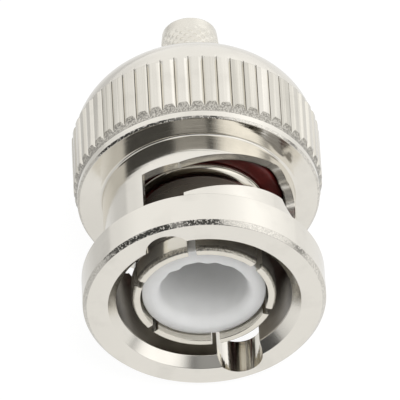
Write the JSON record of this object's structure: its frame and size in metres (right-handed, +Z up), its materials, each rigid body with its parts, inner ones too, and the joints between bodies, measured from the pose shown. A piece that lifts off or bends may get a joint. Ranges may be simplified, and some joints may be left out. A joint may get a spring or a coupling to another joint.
{
  "type": "bnc connector plug",
  "caption": "Crimp-type coaxial cable plug with a fluted quarter-turn bayonet nut, slotted spring contact, white insulator and red gasket, without centre pin or ferrule.",
  "frame": {"origin": "on the axis, level with the front end of the outer contact's raised ring, at the mouth of the coupling nut's bore", "axes": "-Y is the mating direction, out of the contact and the bore; +Y runs back to the crimp stem; +Z is up, with X across"},
  "size_m": [0.014, 0.0205, 0.014],
  "materials": {
    "nickel_shell": "bright nickel plate on turned brass",
    "nickel_contact": "bright nickel plate on slotted bronze",
    "nickel_body": "nickel plate, knurled stem",
    "ptfe": "white, slightly waxy",
    "silicone": "dark red, satin",
    "spring_steel": "plain spring steel"
  },
  "bodies": {
    "core": {"body": "nickel_body", "outer_contact": "nickel_contact", "gasket": "silicone", "front_insulator": "ptfe", "rear_insulator": "ptfe", "wave_washer_front": "spring_steel", "wave_washer_rear": "spring_steel"},
    "spacer": {"spacer_washer": "spring_steel"},
    "thrust": {"back_washer": "spring_steel"},
    "nut": {"coupling_nut": "nickel_shell"}
  },
  "joints": [
    {"name": "nut_travel", "type": "slide", "parent": "core", "child": "thrust", "axis": [0, -1, 0], "range_m": [0, 0.0006], "stiffness_N_per_m": 3000, "springref_m": -0.0003, "deforming": ["wave_washer_front", "wave_washer_rear"]},
    {"name": "nut_spin", "type": "hinge", "parent": "thrust", "child": "nut", "pos_m": [0, 0, 0], "axis": [0, -1, 0], "continuous": true},
    {"name": "spacer_travel", "type": "slide", "parent": "core", "child": "spacer", "axis": [0, -1, 0], "range_m": [0, 0.0003]}
  ],
  "couplings": [
    {"joint": "spacer_travel", "follows": "nut_travel", "ratio": 0.5}
  ]
}
